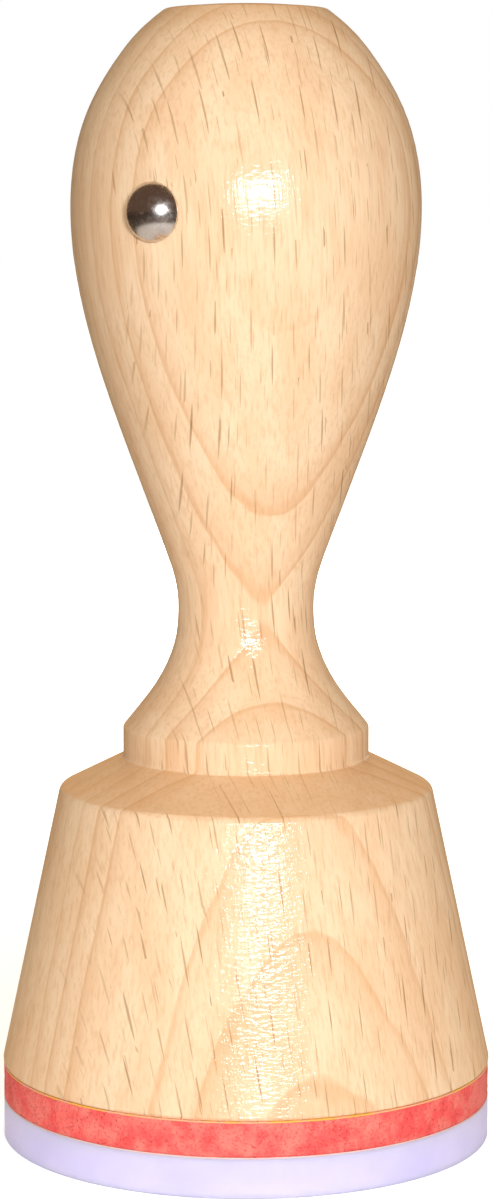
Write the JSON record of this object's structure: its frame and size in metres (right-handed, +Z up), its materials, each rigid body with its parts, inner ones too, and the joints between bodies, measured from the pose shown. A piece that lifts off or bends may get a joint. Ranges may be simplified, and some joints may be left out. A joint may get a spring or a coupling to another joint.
{
  "type": "rubber stamp",
  "caption": "Round hand stamp: turned wooden knob handle and conical block in one piece, domed marker pin, red foam cushion and pale die with a raised flower.",
  "frame": {"origin": "centre of the die's print face, on the plane of the paper, directly under the handle's axis", "axes": "+Z up along the turned body's axis; -Y towards the user, the side the marker pin is on; +X to the user's right"},
  "size_m": [0.04, 0.04, 0.0918],
  "materials": {
    "beech": "clear satin lacquer over pale beech",
    "nickel_plate": "polished nickel plate",
    "adhesive_film": "translucent adhesive film",
    "red_foam": "matt closed-cell foam rubber",
    "die_rubber": "smooth pale lilac die rubber"
  },
  "bodies": {
    "handle": {"wood_body": "beech", "marker_pin": "nickel_plate", "cushion_adhesive": "adhesive_film", "foam_cushion": "red_foam"},
    "die": {"die_adhesive": "adhesive_film", "stamp_die": "die_rubber"}
  },
  "joints": [
    {"name": "cushion_press", "type": "slide", "parent": "handle", "child": "die", "axis": [0, 0, 1], "range_m": [0, 0.0007], "stiffness_N_per_m": 50000, "deforming": ["foam_cushion"]}
  ]
}
